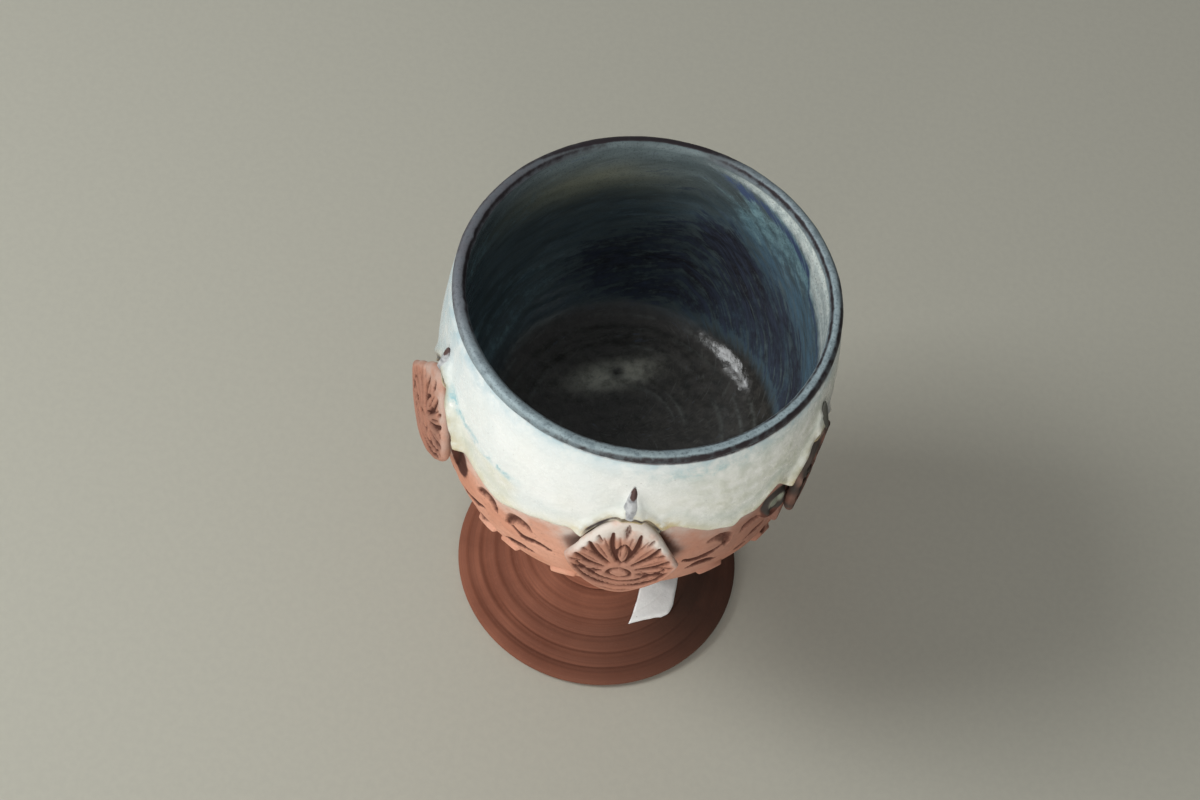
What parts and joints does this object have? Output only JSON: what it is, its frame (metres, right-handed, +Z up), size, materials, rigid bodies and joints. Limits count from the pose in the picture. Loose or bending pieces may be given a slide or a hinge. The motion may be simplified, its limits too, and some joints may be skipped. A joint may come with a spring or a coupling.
{
  "type": "ceramic chalice",
  "caption": "Handmade ceramic goblet: blue-lined bowl with a white outer glaze and applied palmette medallions, on a turned red clay stem and ridged round foot.",
  "frame": {"origin": "centre of the foot's flat resting face, on the axis of the stem and bowl", "axes": "+Z up along the vessel's axis, -Y towards the front medallion, +X to the right"},
  "size_m": [0.1051, 0.1039, 0.14],
  "materials": {
    "pale_clay": "bare fired clay, matt, pinkish buff with dark marks in the stamps",
    "dark_clay": "bare fired clay, matt, red-brown",
    "white_glaze": "satin white glaze with cream and blue-grey breaks",
    "blue_glaze": "glossy mottled glaze, dark blue to teal with cream at the rim"
  },
  "bodies": {
    "root": {"foot": "dark_clay", "lower_joint_coil": "dark_clay", "stem": "dark_clay", "upper_joint_coil": "dark_clay", "bowl": "pale_clay", "inner_glaze_lining": "blue_glaze", "outer_glaze_coat": "white_glaze", "white_glaze_run": "white_glaze", "medallion_front": "pale_clay", "slip_pad_front": "pale_clay", "thorn_front": "dark_clay", "medallion_right": "pale_clay", "slip_pad_right": "pale_clay", "thorn_right": "dark_clay", "medallion_back_right": "pale_clay", "slip_pad_back_right": "pale_clay", "thorn_back_right": "dark_clay", "medallion_back_left": "pale_clay", "slip_pad_back_left": "pale_clay", "thorn_back_left": "dark_clay", "medallion_left": "pale_clay", "slip_pad_left": "pale_clay", "thorn_left": "dark_clay"}
  },
  "joints": []
}
